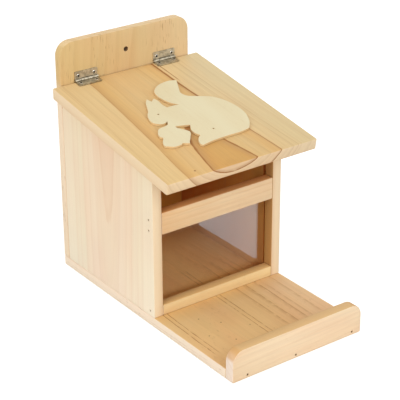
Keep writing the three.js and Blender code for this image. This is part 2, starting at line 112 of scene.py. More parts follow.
# Growth rings
MAX_RADIUS = 200.0           # mm, the widest one that a colour ramp reaches
RING_END = 5.0               # mm, half the length over which a chosen one fades in or out along the board
PITH_SOFTNESS = 2.0          # mm, half the width over which a one-sided one fades in beside the pith
LINE_BLUR = 0.1              # mm, by which a chosen one's sharp line begins early
LINE_CORE = 0.3              # share of the line's width that is fully dark, and over which it then ends
LATE_WOOD = (0.3, 0.9)       # parts of a year between which its wood darkens
YEAR_END = (1.0, 0.93)       # and between which the dark wood ends
YEAR_STRAY = 1.6             # years, by which the rings' even spacing is upset at most
STRAY_PACE = 0.37            # how quickly that changes from year to year
FAINTEST_YEAR = 0.25         # share of the strongest ring's darkness
RINGS_ON_ENDS = 1.4          # how strong all rings are on a board's ends, where its faces have 1
RINGS_ON_EDGES = 0.35        # and on its edges
RING_RELIEF = 0.4            # how high the rings stand, where the hairs have 1

# Faces of a board, in millimetres
NEAR_LAYER = (2, 1)          # depths between which the near face's own tints begin
FAR_LAYER = (4, 8)           # and the far face's
TINT_END = 1.0               # over which a tint that stops on a face does so

# Small dark places on and in the boards, in millimetres: pores and spots, and painted shade in the groove,
# the hole, the joint and the seams
DASH_LENGTH = 7.0
SPOT_CORE = 0.4              # share of a spot's radius that is fully dark
GROOVE_SHADES = ("#b86a28", "#6e3208")
GROOVE_FRONT = (1.8, 1.2)    # behind the groove's front, between which its darker painted shade begins
GROOVE_LAYER = (3, 4)        # depths between which the groove's painted shade begins
GROOVE_BLUR = 0.4            # beside the groove
# Painted shade on the wall of the back board's hole
BORE_SHADE_COLOUR = "#6b4320"
BORE_SHADE = 0.75
JOINT_SHADE_COLOUR = "#5c3717"
JOINT_START = (0.9, 0.3)     # before the joint's depth, between which its painted shade begins
SEAM_SHADE_COLOUR = "#7c5026"
SEAM_SHADE_ON_EDGES = 0.08         # how dark the seams' painted shade is on a board's edges
SEAM_SHADE_BLUR = 3.0              # over which the seams' painted shade begins along the board

# Plywood
VENEER_STREAK_DEPTH = 0.15
VENEER_DASH_DEPTH = 0.25
PLY_EDGE_DEPTH = 0.7

# Pane
PANE_INDEX = 1.95            # of refraction, above acrylic's, to mirror as strongly as the photograph's


def paint(code):
    """A web colour as red, green, blue and alpha in linear light, by the sRGB standard's formula."""
    channels = [int(code[i:i + 2], 16) / 255 for i in (1, 3, 5)]
    linear = [c / 12.92 if c <= 0.04045 else ((c + 0.055) / 1.055) ** 2.4 for c in channels]
    return (*linear, 1.0)


class Shader:
    """A material's or world's nodes, with short calls for those that the finishes share."""

    def __init__(self, tree, material=None):
        self.tree = tree
        self.material = material
        self.nodes = tree.nodes
        self.surface = tree.nodes.get("Principled BSDF")

    @classmethod
    def of_material(cls, name):
        material = bpy.data.materials.new(name)
        material.use_nodes = True
        return cls(material.node_tree, material)

    def feed(self, socket, value):
        if isinstance(value, bpy.types.NodeSocket):
            self.tree.links.new(value, socket)
        else:
            socket.default_value = value

    def coat(self, inputs):
        """Gives the material's surface its values."""
        for socket, value in inputs.items():
            self.feed(self.surface.inputs[socket], value)

    def add(self, kind, inputs, **settings):
        node = self.nodes.new(kind)
        for key, value in settings.items():
            setattr(node, key, value)
        for socket, value in inputs.items():
            self.feed(node.inputs[socket], value)
        return node

    def math(self, operation, *values, clamp=False):
        inputs = dict(enumerate(values))
        return self.add("ShaderNodeMath", inputs, operation=operation, use_clamp=clamp).outputs[0]

    def product(self, value, *others):
        for other in others:
            value = self.math("MULTIPLY", value, other)
        return value

    def vector(self, operation, *values):
        node = self.add("ShaderNodeVectorMath", dict(enumerate(values)), operation=operation)
        return node.outputs["Value" if operation in ("DOT_PRODUCT", "LENGTH", "DISTANCE") else "Vector"]

    def scale(self, point, size):
        """The point or colour, times one number."""
        node = self.add("ShaderNodeVectorMath", {0: point, "Scale": size}, operation="SCALE")
        return node.outputs["Vector"]

    def stretch(self, point, across, along, through):
        """The point with each of its parts times a number of its own."""
        return self.vector("MULTIPLY", point, (across, along, through))

    def parts(self, point):
        """The point's places across, along and into the board."""
        return self.add("ShaderNodeSeparateXYZ", {0: point}).outputs

    def combine(self, *parts):
        return self.add("ShaderNodeCombineXYZ", dict(enumerate(parts))).outputs[0]

    def coordinate(self, kind):
        """The shaded point (Object) or the surface's direction (Normal), as they are at rest."""
        return self.add("ShaderNodeTexCoord", {}).outputs[kind]

    def facing(self, direction):
        """How squarely the surface faces along a direction, from 0 to 1."""
        return self.math("ABSOLUTE", self.vector("DOT_PRODUCT", self.coordinate("Normal"), direction))

    def noise(self, point, detail, roughness=0.5):
        inputs = {"Vector": point, "Scale": 1.0, "Detail": detail, "Roughness": roughness}
        return self.add("ShaderNodeTexNoise", inputs).outputs[0]

    def step(self, value, low, high):
        """Rises smoothly from 0 at low to 1 at high, and falls where low is the greater."""
        inputs = {"Value": value, "From Min": low, "From Max": high}
        return self.add("ShaderNodeMapRange", inputs, interpolation_type="SMOOTHSTEP").outputs[0]

    def lerp(self, value, low, high):
        """From low to high as the value goes from 0 to 1."""
        return self.math("MULTIPLY_ADD", value, high - low, low)

    def mix(self, factor, first, second, blend="MIX"):
        inputs = {"Fac": factor, "Color1": first, "Color2": second}
        return self.add("ShaderNodeMixRGB", inputs, blend_type=blend).outputs[0]

    def ramp(self, value, stops):
        """A colour ramp over a value, from a list of (place, colour)."""
        node = self.add("ShaderNodeValToRGB", {"Fac": value})
        elements = node.color_ramp.elements
        while len(elements) < len(stops):
            elements.new(1.0)
        for element, (place, colour) in zip(elements, sorted(stops)):
            element.position = place
            element.color = colour
        return node.outputs["Color"]

    def bump(self, height, strength, distance, easing=0.0):
        """A surface that rises with the height, with edges eased to a small radius."""
        inputs = {"Height": height, "Strength": strength, "Distance": distance}
        if easing:
            inputs["Normal"] = self.add("ShaderNodeBevel", {"Radius": easing}, samples=6).outputs[0]
        return self.add("ShaderNodeBump", inputs).outputs[0]


@dataclass
class Board:
    """Where a board's grain lies: a corner in metres, and the ways across, along and into its near face."""

    corner: Vector
    across: Vector
    along: Vector
    through: Vector

    def place(self, shader):
        """The shaded point in millimetres across, along and into the board."""
        from_corner = shader.vector("SUBTRACT", shader.coordinate("Object"), self.corner)
        parts = [
            shader.vector("DOT_PRODUCT", from_corner, direction / MILLIMETRE)
            for direction in (self.across, self.along, self.through)
        ]
        return shader.combine(*parts)


@dataclass
class Ring:
    """A chosen growth ring: its soft inner shade and its sharp outer line, each with a strength."""

    radius: float
    soft: float
    sharp: float
    width: float = 4.0      # of the soft shade
    line: float = 0.9       # and of the sharp line
    side: int = 0           # -1 or 1 where it shows on one side of the pith only
    start: float = -60.0    # where it begins and ends along the board
    stop: float = 400.0


@dataclass
class Look:
    """What a board's wood is like, in millimetres and web colours."""

    zones: list                         # (radius, colour) of the wood between the rings
    pith: tuple                         # the tree's middle, across and into the board at its start
    lean: tuple = (0.0, 0.0)            # how the pith moves across and inwards along the board
    bow: float = 0.0                    # and how it curves inwards
    wander: float = 2.0                 # how far the rings stray slowly
    waver: float = 0.3                  # and finely
    rings: tuple = ()                   # the chosen ones
    line_colour: str = "#9a632a"
    fading: tuple = (0.1, 0.5)          # how much of the chosen rings fades out
    patch: float = 30.0                 # how long the faded stretches are
    spacing: float = 6.0                # of all the other rings
    ring_depth: float = 0.1             # and how dark they are
    fibre: float = 0.1                  # how strong the streaks and hairs are
    pores: float = 0.0                  # short dark dashes
    pore_length: float = DASH_LENGTH
    pore_colour: str = "#8a5a2c"
    marks: tuple = ()                   # dark spots, as (across, along, radius)
    drift: tuple = ("#fffdf6", "#fff6f0")
    across: tuple = ()                  # tints, as (place, colour)
    along: tuple = ()
    edge_colour: str = "#efdcc0"
    edge_depth: float = 0.85
    edge_fade: tuple = ()               # where along the board the edges' own colour fades out
    end_colour: str = "#ead2b2"
    end_depth: float = 0.5
    slant_colour: str = "#d0a066"       # where a rounded corner cuts the grain aslant
    slant_depth: float = 0.0
    near_shade: tuple = ()                  # painted shade along the near face alone, as (place, colour)
    hidden: tuple = ()                  # (left, right, stop) of the strips that other boards cover:
                                        # outside left and right, and before stop along the board
    inner: tuple = ()                   # tints across the far face, which on the sides are painted shade
    far_shade_along: tuple = ()             # and painted shade along it, behind its groove
    groove: tuple = ()                  # painted shade in a groove in the far face, from one place across to another
    bore: tuple = ()                    # a hole through the board, as (across, along, radius), whose wall gets painted shade
    joint: float = 0.0                  # how deep into the board the painted shade of a joint begins along its edges
    seam: float = 0.42                  # how dark the painted shade in the seams beside other boards is
    seam_shade_start: float = -400.0          # and where along the board it begins


def from_pith(shader, point, look):
    """The shaded point's places across and inwards from the pith, which leans and bows along the board."""
    across, along, inwards = shader.parts(point)
    pith_across = shader.math("MULTIPLY_ADD", along, look.lean[0], look.pith[0])
    straight = shader.math("MULTIPLY_ADD", along, look.lean[1], look.pith[1])
    pith_inwards = shader.math("ADD", straight, shader.product(along, along, look.bow))
    return shader.math("SUBTRACT", across, pith_across), shader.math("SUBTRACT", inwards, pith_inwards)


def ring_radius(shader, point, look, sideways, inwards):
    """The distance from the pith; it wanders slowly, and wavers finely."""
    radius = shader.vector("LENGTH", shader.combine(sideways, inwards))
    slow = shader.noise(shader.stretch(point, *RING_BENDS), detail=2.0)
    quick = shader.noise(shader.stretch(point, *RING_WAVERS), detail=3.0)
    radius = shader.math("ADD", radius, shader.lerp(slow, -look.wander, look.wander))
    return shader.math("ADD", radius, shader.lerp(quick, -look.waver, look.waver))


def growth_line(shader, ring, radius, sideways, along):
    """A chosen ring darkens softly towards its radius, where a thin dark line ends it."""
    beyond = shader.math("SUBTRACT", radius, ring.radius)
    core = LINE_CORE * ring.line
    soft = shader.product(shader.step(beyond, -ring.width, 0), ring.soft)
    sharp = shader.product(shader.step(beyond, -ring.line - LINE_BLUR, -core), ring.sharp)
    shade = shader.product(
        shader.math("ADD", soft, sharp),
        shader.step(beyond, core, 0),
        shader.step(along, ring.start - RING_END, ring.start + RING_END),
        shader.step(along, ring.stop + RING_END, ring.stop - RING_END),
    )
    if ring.side:
        beside = shader.product(sideways, ring.side)
        shade = shader.product(shade, shader.step(beside, -PITH_SOFTNESS, PITH_SOFTNESS))
    return shade


def yearly_rings(shader, radius, spacing):
    """All the other rings: a pale early part that darkens to a late line, in every year of growth."""
    years = shader.math("DIVIDE", radius, spacing)
    inputs = {"W": shader.product(years, STRAY_PACE), "Scale": 1.0}
    stray = shader.add("ShaderNodeTexNoise", inputs, noise_dimensions="1D").outputs[0]
    years = shader.math("ADD", years, shader.product(stray, YEAR_STRAY))
    part = shader.math("FRACT", years)
    year = shader.math("FLOOR", years)
    vigour = shader.add("ShaderNodeTexWhiteNoise", {"W": year}, noise_dimensions="1D").outputs["Value"]
    return shader.product(
        shader.step(part, *LATE_WOOD),
        shader.step(part, *YEAR_END),
        shader.lerp(vigour, FAINTEST_YEAR, 1.0),
    )


def growth_rings(shader, point, radius, sideways, look):
    """How dark all the rings are, the chosen ones in patches, and how strong the yearly ones are alone."""
    yearly = yearly_rings(shader, radius, look.spacing)
    darker = shader.product(yearly, look.ring_depth)
    stretched = shader.stretch(point, 3 / look.patch, 1 / look.patch, 3 / look.patch)
    patches = shader.step(shader.noise(stretched, detail=4.0), *look.fading)
    along = shader.parts(point)[1]
    for ring in look.rings:
        shade = shader.product(growth_line(shader, ring, radius, sideways, along), patches)
        darker = shader.math("MAXIMUM", darker, shade)
    return darker, yearly


def dashes(shader, point, amount, length=DASH_LENGTH):
    """Short dark dashes along the grain, in patches."""
    grain = shader.noise(shader.stretch(point, DASHES_ACROSS, 1 / length, DASHES_ACROSS), detail=1.0)
    patch = shader.noise(shader.stretch(point, *DASH_PATCHES), detail=1.0)
    return shader.product(shader.step(grain, *DASH_SPAN), shader.step(patch, *DASH_PATCH_SPAN), amount)


def spots(shader, point, places):
    """Small dark spots at chosen places across and along the face, each with its radius."""
    total = 0.0
    flat = shader.stretch(point, 1, 1, 0)
    for across, along, radius in places:
        away = shader.vector("DISTANCE", flat, (across, along, 0))
        total = shader.math("ADD", total, shader.step(away, radius, SPOT_CORE * radius))
    return total


def tinted(shader, colour, value, tints):
    """The colour, times a tint that changes over a length."""
    start = tints[0][0]
    length = tints[-1][0] - start
    stops = [((place - start) / length, paint(code)) for place, code in tints]
    share = shader.math("DIVIDE", shader.math("SUBTRACT", value, start), length)
    return shader.mix(1.0, colour, shader.ramp(share, stops), "MULTIPLY")


def wood_colour(shader, point, radius, look):
    """The colour between the rings: broad zones, slow changes of tint, streaks and fine hairs."""
    share = shader.math("DIVIDE", radius, MAX_RADIUS)
    colour = shader.ramp(share, [(place / MAX_RADIUS, paint(code)) for place, code in look.zones])
    drift = shader.noise(shader.stretch(point, *TINT_DRIFT), detail=1.0)
    tint = shader.mix(shader.step(drift, *DRIFT_SPAN), paint(look.drift[0]), paint(look.drift[1]))
    colour = shader.mix(1.0, colour, tint, "MULTIPLY")
    across, along, _ = shader.parts(point)
    if look.across:
        colour = tinted(shader, colour, across, look.across)
    if look.along:
        colour = tinted(shader, colour, along, look.along)
    streaks = shader.noise(shader.stretch(point, *STREAKS), detail=5.0, roughness=0.66)
    hairs = shader.noise(shader.stretch(point, *HAIRS), detail=3.0, roughness=0.6)
    coarse = shader.lerp(streaks, 1 - look.fibre, 1 + look.fibre)
    fine = shader.lerp(hairs, -look.fibre / 2, look.fibre / 2)
    return shader.scale(colour, shader.math("ADD", coarse, fine)), streaks, hairs


def cut_faces(shader, board, point, look, colour):
    """The colour on the board's edges, ends and rounded corners, and where its edges and ends are."""
    across, along = shader.facing(board.across), shader.facing(board.along)
    edges = shader.step(across, *BOARD_FACE)
    ends = shader.step(along, *BOARD_FACE)
    slant = shader.step(shader.product(across, along), *SLANT_CUT)
    edge_tint = shader.product(edges, look.edge_depth)
    if look.edge_fade:
        start, stop = look.edge_fade
        edge_tint = shader.product(edge_tint, shader.step(shader.parts(point)[1], stop, start))
    colour = shader.mix(edge_tint, colour, paint(look.edge_colour))
    colour = shader.mix(shader.product(ends, look.end_depth), colour, paint(look.end_colour))
    colour = shader.mix(shader.product(slant, look.slant_depth), colour, paint(look.slant_colour))
    return colour, edges, ends


def near_face(shader, board, point, look, colour):
    """The colour on the near face, with painted shade along it and the strips that other boards cover."""
    across, along, depth = shader.parts(point)
    near = shader.product(shader.step(depth, *NEAR_LAYER), shader.facing(board.through))
    if look.near_shade:
        colour = shader.mix(near, colour, tinted(shader, colour, along, look.near_shade))
    if look.hidden:
        left, right, stop = look.hidden
        at_left = shader.step(across, left + TINT_END, left)
        at_right = shader.step(across, right - TINT_END, right)
        before_stop = shader.step(along, stop + TINT_END, stop)
        covered = shader.product(shader.math("MAXIMUM", at_left, at_right), before_stop, near)
        colour = shader.mix(covered, colour, paint(look.edge_colour))
    return colour


def far_face(shader, board, point, look, colour):
    """The colour on the far face: its tints, which on the sides are painted shade, and painted shade in its
    groove, which ends at the front of the pane.
    """
    across, along, depth = shader.parts(point)
    far = shader.product(shader.step(depth, *FAR_LAYER), shader.facing(board.through))
    if look.inner:
        colour = shader.mix(far, colour, tinted(shader, colour, across, look.inner))
    # Painted shade on the inside faces, low down behind the groove
    if look.far_shade_along:
        pane_front = look.groove[1]
        behind = shader.product(far, shader.step(across, pane_front, pane_front - TINT_END))
        colour = shader.mix(behind, colour, tinted(shader, colour, along, look.far_shade_along))
    # Painted shade in the groove, darker towards its front
    if look.groove:
        start, stop = look.groove
        in_groove_shade = shader.product(
            shader.step(across, start - GROOVE_BLUR, start),
            shader.step(across, stop + GROOVE_BLUR, stop),
            shader.step(depth, *GROOVE_LAYER),
        )
        at_front = shader.step(across, *(stop - distance for distance in GROOVE_FRONT))
        rear, front = map(paint, GROOVE_SHADES)
        colour = shader.mix(in_groove_shade, colour, shader.mix(at_front, rear, front))
    return colour


def shade_in_crevices(shader, reach, low, high):
    """Where shade is painted: 1 in narrow joints and corners, 0 on open faces."""
    inputs = {"Distance": reach * MILLIMETRE}
    openness = shader.add("ShaderNodeAmbientOcclusion", inputs, samples=8).outputs["AO"]
    return shader.step(openness, high, low)


def bored(shader, board, point, look):
    """1 on the wall of the board's hole, where shade is painted."""
    across, along, radius = look.bore
    away = shader.vector("DISTANCE", shader.stretch(point, 1, 1, 0), (across, along, 0))
    wall = shader.step(shader.facing(board.through), *BORE_WALL)
    return shader.product(shader.step(away, radius + TINT_END, radius), wall)


def hollow_shade(shader, board, point, look, edges, colour):
    """The colour, with painted shade in the board's hole, along its joint and in the seams beside other
    boards.
    """
    _, along, depth = shader.parts(point)
    if look.bore:
        # Painted shade on the hole's wall
        wall = shader.product(bored(shader, board, point, look), BORE_SHADE)
        colour = shader.mix(wall, colour, paint(BORE_SHADE_COLOUR))
    # Painted shade along the joint, on the edges beyond its depth
    if look.joint:
        beyond = shader.step(depth, *(look.joint - distance for distance in JOINT_START))
        colour = shader.mix(shader.product(beyond, edges), colour, paint(JOINT_SHADE_COLOUR))
    # Painted shade in the seams beside other boards
    seams = shader.product(
        shade_in_crevices(shader, reach=1.5, low=0.2, high=0.55),
        shader.lerp(edges, look.seam, SEAM_SHADE_ON_EDGES),
        shader.step(along, look.seam_shade_start - SEAM_SHADE_BLUR, look.seam_shade_start),
    )
    return shader.mix(seams, colour, paint(SEAM_SHADE_COLOUR))


def wood(name, board, look):
    """Planed softwood whose rings, fibres and end grain run through the whole board."""
    shader = Shader.of_material(name)
    point = board.place(shader)
    sideways, inwards = from_pith(shader, point, look)
    radius = ring_radius(shader, point, look, sideways, inwards)
    colour, streaks, hairs = wood_colour(shader, point, radius, look)
    colour, edges, ends = cut_faces(shader, board, point, look, colour)
    colour = near_face(shader, board, point, look, colour)
    colour = far_face(shader, board, point, look, colour)
    darker, yearly = growth_rings(shader, point, radius, sideways, look)
    darker = shader.math("MULTIPLY", darker, shader.lerp(ends, 1.0, RINGS_ON_ENDS), clamp=True)
    darker = shader.product(darker, shader.lerp(edges, 1.0, RINGS_ON_EDGES))
    colour = shader.mix(darker, colour, paint(look.line_colour))
    pores = dashes(shader, point, look.pores, look.pore_length)
    dark = shader.math("ADD", pores, spots(shader, point, look.marks), clamp=True)
    colour = shader.mix(dark, colour, paint(look.pore_colour))
    colour = hollow_shade(shader, board, point, look, edges, colour)
    relief = shader.math("SUBTRACT", shader.math("MULTIPLY_ADD", yearly, RING_RELIEF, hairs), dark)
    shader.coat({
        "Base Color": colour,
        "Roughness": shader.lerp(streaks, 0.52, 0.78),
        "Specular IOR Level": 0.35,
        "Normal": shader.bump(relief, strength=0.35, distance=0.12 * MILLIMETRE, easing=EASED_EDGE),
    })
    return shader.material


def wear(node, material):
    """Gives a piece of the model its material."""
    nodes[node].data.materials.clear()
    nodes[node].data.materials.append(material)


# Boards
def lid_grain():
    low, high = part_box("lid_board")
    length = (high.y - low.y) / math.cos(LID_PITCH)
    top_back = Vector((low.x, high.y, high.z))
    return Board(top_back - length * LID_ALONG, RIGHT, LID_ALONG, LID_INWARDS)


def side_grain(node):
    """Of a side, from its rear corner forwards and up, seen from outside the box."""
    low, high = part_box(node)
    outer, outwards = (high.x, RIGHT) if high.x > 0 else (low.x, -RIGHT)
    return Board(Vector((outer, high.y, 0)), -BACK, UP, -outwards)


def lying_grain(node):
    """Of a bar or lip that runs from side to side, seen from the front."""
    return Board(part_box(node)[0], UP, RIGHT, BACK)


def finish_lid():
    wear("lid_board", wood("lid_pine", lid_grain(), Look(
        zones=[(0, "#cd9e5b"), (44, "#d0a361"), (47.5, "#dab880"), (53, "#dcbd88"), (60, "#dab57a"),
               (65, "#dbb87f"), (65.8, "#dfc493"), (95, "#dfca9d")],
        pith=(74.5, -39.5), lean=(0, -0.125), bow=0.0003, wander=2.2, waver=0.35,
        rings=(
            Ring(47, soft=0.42, sharp=0.5, width=4.5),
            Ring(56, soft=0.1, sharp=0.04, width=6),
            Ring(65, soft=0.3, sharp=0.5, width=3, side=1),
            Ring(64.6, soft=0.45, sharp=0.7, width=3, side=1, start=105),
            Ring(67.6, soft=0.15, sharp=0.6, width=1.5, side=1, start=150),
            Ring(65, soft=0.3, sharp=0.16, width=6, side=-1),
            Ring(77, soft=0.1, sharp=0.06, side=1),
            Ring(82, soft=0.12, sharp=0.1, width=2, side=1),
            Ring(84, soft=0.12, sharp=0.04, side=-1),
        ),
        line_colour="#9a6128", fading=(0.2, 0.45), spacing=5, ring_depth=0.09, fibre=0.14,
        marks=((34.5, 7.5, 1.3),), drift=("#fffefb", "#fffaf5"),
        across=((0, "#faf2e6"), (24, "#fcf7f0"), (70, "#ffffff"), (168, "#ffffff")),
        along=((0, "#fbf9f5"), (100, "#ffffff"), (188, "#ffffff")),
        edge_colour="#e7cfae", end_colour="#efd8bd", end_depth=0.5,
        inner=((0, "#ffebd2"), (168, "#ffebd2")),
    )))


def finish_sides():
    pane_front = (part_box("back_board")[0].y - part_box("window_pane")[0].y) / MILLIMETRE
    # Painted shade on the sides' inside faces: darkest before the pane, and on the right side also just
    # behind it
    niche_shade = ((pane_front + 3, "#c8a06c"), (pane_front + 12, "#cfa772"))
    looks = {
        "left_side": {
            "pith": (73.5, 35.4),
            "inner": ((0, "#f8cc94"), (pane_front, "#f8cc94"), *niche_shade),
        },
        "right_side": {
            "pith": (58, 41),
            "inner": ((0, "#edc07a"), (pane_front - 24, "#edc07a"), (pane_front - 12, "#d4a865"),
                      (pane_front, "#d4a865"), *niche_shade),
        },
    }
    for node, look in looks.items():
        wear(node, wood(f"{node}_pine", side_grain(node), Look(
            zones=[(0, "#f2ddc8"), (36, "#f2dfca"), (39, "#f4e3d0"), (50, "#f4e3ce"), (54, "#f3e7d2"),
                   (64, "#f3e6d1"), (68, "#f4e9d5")],
            lean=(0.01, -0.03), wander=2.0, waver=0.5,
            rings=(
                Ring(33, soft=0.12, sharp=0.1),
                Ring(38.5, soft=0.08, sharp=0.04),
                Ring(45, soft=0.08, sharp=0.05),
                Ring(52, soft=0.12, sharp=0.06),
                Ring(60, soft=0.08, sharp=0.03),
                Ring(66, soft=0.08, sharp=0.06),
            ),
            line_colour="#cf9f72", spacing=3.5, ring_depth=0.07, fibre=0.05,
            drift=("#fffefa", "#fff9f5"), seam=0.03,
            # Darker towards the top: painted shade under the lid
            along=((0, "#ffffff"), (60, "#fbf9f4"), (120, "#f5f1ea"), (180, "#f3eee4")),
            edge_colour="#edd3ae", edge_depth=0.75, end_colour="#f2e2cc",
            # Painted shade inside, low down behind the pane
            far_shade_along=((0, "#f1dcea"), (40, "#f1dcea"), (90, "#ffffff"), (150, "#ffffff")),
            # Painted shade in the pane's groove
            groove=(pane_front - GROOVE_STRIP, pane_front), **look,
        )))


def finish_back_board():
    low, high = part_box("back_board")
    width = (high.x - low.x) / MILLIMETRE
    hole_height = high.z / MILLIMETRE - HANGING_HOLE_DROP
    grain = Board(Vector((low.x, low.y, 0)), RIGHT, UP, BACK)
    wear("back_board", wood("back_pine", grain, Look(
        zones=[(0, "#f5dab2"), (190, "#f5dab2")],
        pith=(112, 70), lean=(0.05, 0.05), wander=3.0,
        line_colour="#b98a50", spacing=7.0, ring_depth=0.2,
        pores=1.0, pore_length=15.0, pore_colour="#875426",
        across=((0, "#e8dbc1"), (95, "#ebe1d2"), (130, "#f4ece2"), (148, "#f8f2ea")),
        along=((0, "#f0f9fa"), (235, "#f0f7f6")),
        # Painted shade inside the box, darker low down
        near_shade=((0, "#e5b463"), (40, "#e5b463"), (80, "#efc28c"), (182, "#efc28c"), (186, "#ffffff")),
        hidden=(COVERED_STRIP, width - COVERED_STRIP, COVERED_HEIGHT), seam_shade_start=COVERED_HEIGHT,
        inner=((0, "#fff6ee"), (148, "#fff6ee")),
        bore=(width / 2, hole_height, HANGING_HOLE_RADIUS),
        edge_colour="#f0dcc3", edge_fade=(180, 200), end_colour="#edcfa4",
    )))


def finish_floor_board():
    """Its grain is measured from the box's front, so that the part inside the box lies before 0."""
    low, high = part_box("floor_board")
    width = (high.x - low.x) / MILLIMETRE
    box_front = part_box("left_side")[0].y
    grain = Board(Vector((low.x, box_front, high.z)), RIGHT, -BACK, -UP)
    wear("floor_board", wood("platform_pine", grain, Look(
        zones=[(0, "#e9c996"), (60, "#e9c894"), (80, "#e7c592"), (110, "#e7c8a0")],
        pith=(43, 60), lean=(-0.03, 0), wander=1.2, waver=0.42,
        rings=(
            Ring(66.5, soft=0.08, sharp=0.75, width=1, line=0.3, stop=82),
            Ring(68.6, soft=0.12, sharp=0.75, width=1.6, line=0.32, stop=82),
            Ring(80.2, soft=0.26, sharp=0.24, width=3.5, line=0.7, stop=80),
            Ring(87.8, soft=0.42, sharp=0.12, width=4.5, line=0.9, stop=82),
            Ring(96.2, soft=0.32, sharp=0.24, width=4, line=0.8, stop=82),
            Ring(101, soft=0.24, sharp=0.16, width=2.6, line=0.7, stop=80),
            Ring(111, soft=0.26, sharp=0.12, width=4, stop=80),
        ),
        line_colour="#a3672a", fading=(0.32, 0.52), patch=8.0, spacing=4.0, ring_depth=0.06,
        pores=0.5, pore_colour="#8a5c30",
        marks=((32, 25, 0.9), (45, 42, 0.9), (22, 55, 0.9), (64, 61, 0.8), (38, 74, 0.9)),
        # Painted shade inside the box, before 0, and on the platform towards its lip
        near_shade=((-150, "#ecc889"), (-125, "#f1cf9a"), (-95, "#ffe8c8"), (-2, "#ffe8c8"), (0, "#f9f3e4"),
                (22, "#fefcf8"), (40, "#fcf8f1"), (80, "#fbf6ef"), (110, "#e9dfd0")),
        edge_colour="#f2e2cf", end_colour="#efdcc0",
        hidden=(COVERED_STRIP, width - COVERED_STRIP, -1), seam_shade_start=0,
    )))


def finish_bars():
    # Each bar's edge_colour, on its top and bottom faces, is painted shade: darker than its front, the
    # rail's most of all under the lid
    looks = {
        "front_lip": {
            "zones": [(0, "#f0d9b7"), (60, "#f1dabb")],
            "pith": (-26, 38),
            "edge_colour": "#d3ab70",
            "along": ((0, "#f7f2ee"), (60, "#ffffff"), (148, "#ffffff")),
            "ring_depth": 0.13,
            "fibre": 0.14,
        },
        "top_rail": {
            "zones": [(0, "#e7cfa9"), (60, "#e8d1ae")],
            "pith": (34, 40),
            "edge_colour": "#d09050",
            "along": ((0, "#f6e4d4"), (70, "#ffffff"), (128, "#ffffff")),
            "ring_depth": 0.24,
            "fibre": 0.18,
        },
        "window_sill": {
            "zones": [(0, "#f1dfb6"), (60, "#f1e0b8")],
            "pith": (-12, 36),
            "edge_colour": "#eabd7b",
            "along": ((0, "#f2e4d5"), (70, "#f7efe0"), (128, "#fcf7e7")),
            "ring_depth": 0.1,
            "fibre": 0.12,
            # Painted shade along the sill's rear top edge, in the gap before the pane
            "joint": 11.5,
        },
    }
    for node, look in looks.items():
        wear(node, wood(f"{node}_pine", lying_grain(node), Look(
            lean=(0.04, -0.03), wander=3.2, waver=0.5,
            line_colour="#cd9558", fading=(0.2, 0.5), spacing=4.2,
            pores=0.25, pore_colour="#b5793c", drift=("#fffefa", "#fff5ee"),
            end_colour="#efdfd3", end_depth=0.75, slant_depth=0.75, **look,
        )))


def finish_cutout():
    """Thin plywood: a pale face veneer, and a darker middle ply that shows along its edges."""
    shader = Shader.of_material("cream_plywood")
    low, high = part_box("squirrel_cutout")
    board = Board(Vector((low.x, high.y, high.z)), RIGHT, LID_ALONG, LID_INWARDS)
    point = board.place(shader)
    streaks = shader.noise(shader.stretch(point, *VENEER_STREAKS), detail=4.0)
    hairs = shader.noise(shader.stretch(point, *VENEER_HAIRS), detail=2.0)
    drift = shader.noise(shader.stretch(point, *VENEER_DRIFT), detail=1.0)
    colour = shader.mix(shader.step(drift, *DRIFT_SPAN), paint("#e3d8b4"), paint("#e1d3ad"))
    streaked = shader.product(shader.step(streaks, *VENEER_STREAK_SPAN), VENEER_STREAK_DEPTH)
    colour = shader.mix(streaked, colour, paint("#d5c093"))
    colour = shader.mix(dashes(shader, point, VENEER_DASH_DEPTH), colour, paint("#c2a66f"))
    edge = shader.step(shader.facing(board.through), *PLY_EDGE)
    colour = shader.mix(shader.product(edge, PLY_EDGE_DEPTH), colour, paint("#d3ab72"))
    shader.coat({
        "Base Color": colour,
        "Roughness": shader.lerp(hairs, 0.55, 0.75),
        "Specular IOR Level": 0.3,
        "Normal": shader.bump(hairs, strength=0.25, distance=0.08 * MILLIMETRE),
    })
    wear("squirrel_cutout", shader.material)


# Metal
def plated_steel(name, colours, crevice_shade, roughness, recess=None):
    """Plated steel, dull in patches and finely scratched, with painted shade in crevices and in a screw's
    recess.

    The roughness goes from its first value, where it is bright, to its second.
    """
    shader = Shader.of_material(name)
    rest = shader.coordinate("Object")
    dull = shader.noise(shader.scale(rest, DULL_PATCHES), detail=3.0)
    scratch = shader.noise(shader.stretch(rest, *SCRATCHES), detail=2.0)
    bright, dulled = map(paint, colours)
    tone = shader.mix(shader.step(dull, *DULL_SPAN), bright, dulled)
    # Painted shade in crevices and in the screw's recess
    dark = shade_in_crevices(shader, reach=1.4, low=0.3, high=0.75)
    if recess:
        away = shader.vector("DISTANCE", rest, recess)
        dark = shader.math("MAXIMUM", dark, shader.step(away, SCREW_RECESS + RECESS_SOFTNESS, SCREW_RECESS))
    shader.coat({
        "Base Color": shader.mix(dark, tone, paint(crevice_shade)),
        "Metallic": 1.0,
        "Roughness": shader.lerp(dull, *roughness),
        "Normal": shader.bump(scratch, strength=0.2, distance=0.03 * MILLIMETRE, easing=EASED_METAL_EDGE),
    })
    return shader.material


def screw_face(node):
    """The middle of a hinge screw's head: on the back board it faces forwards, on the lid upwards."""
    low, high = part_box(node)
    middle = (low + high) / 2
    if "board" in node:
        return Vector((middle.x, low.y, middle.z))
    radius = (high.x - low.x) / 2
    return Vector((middle.x, low.y + radius * math.cos(LID_PITCH), high.z))


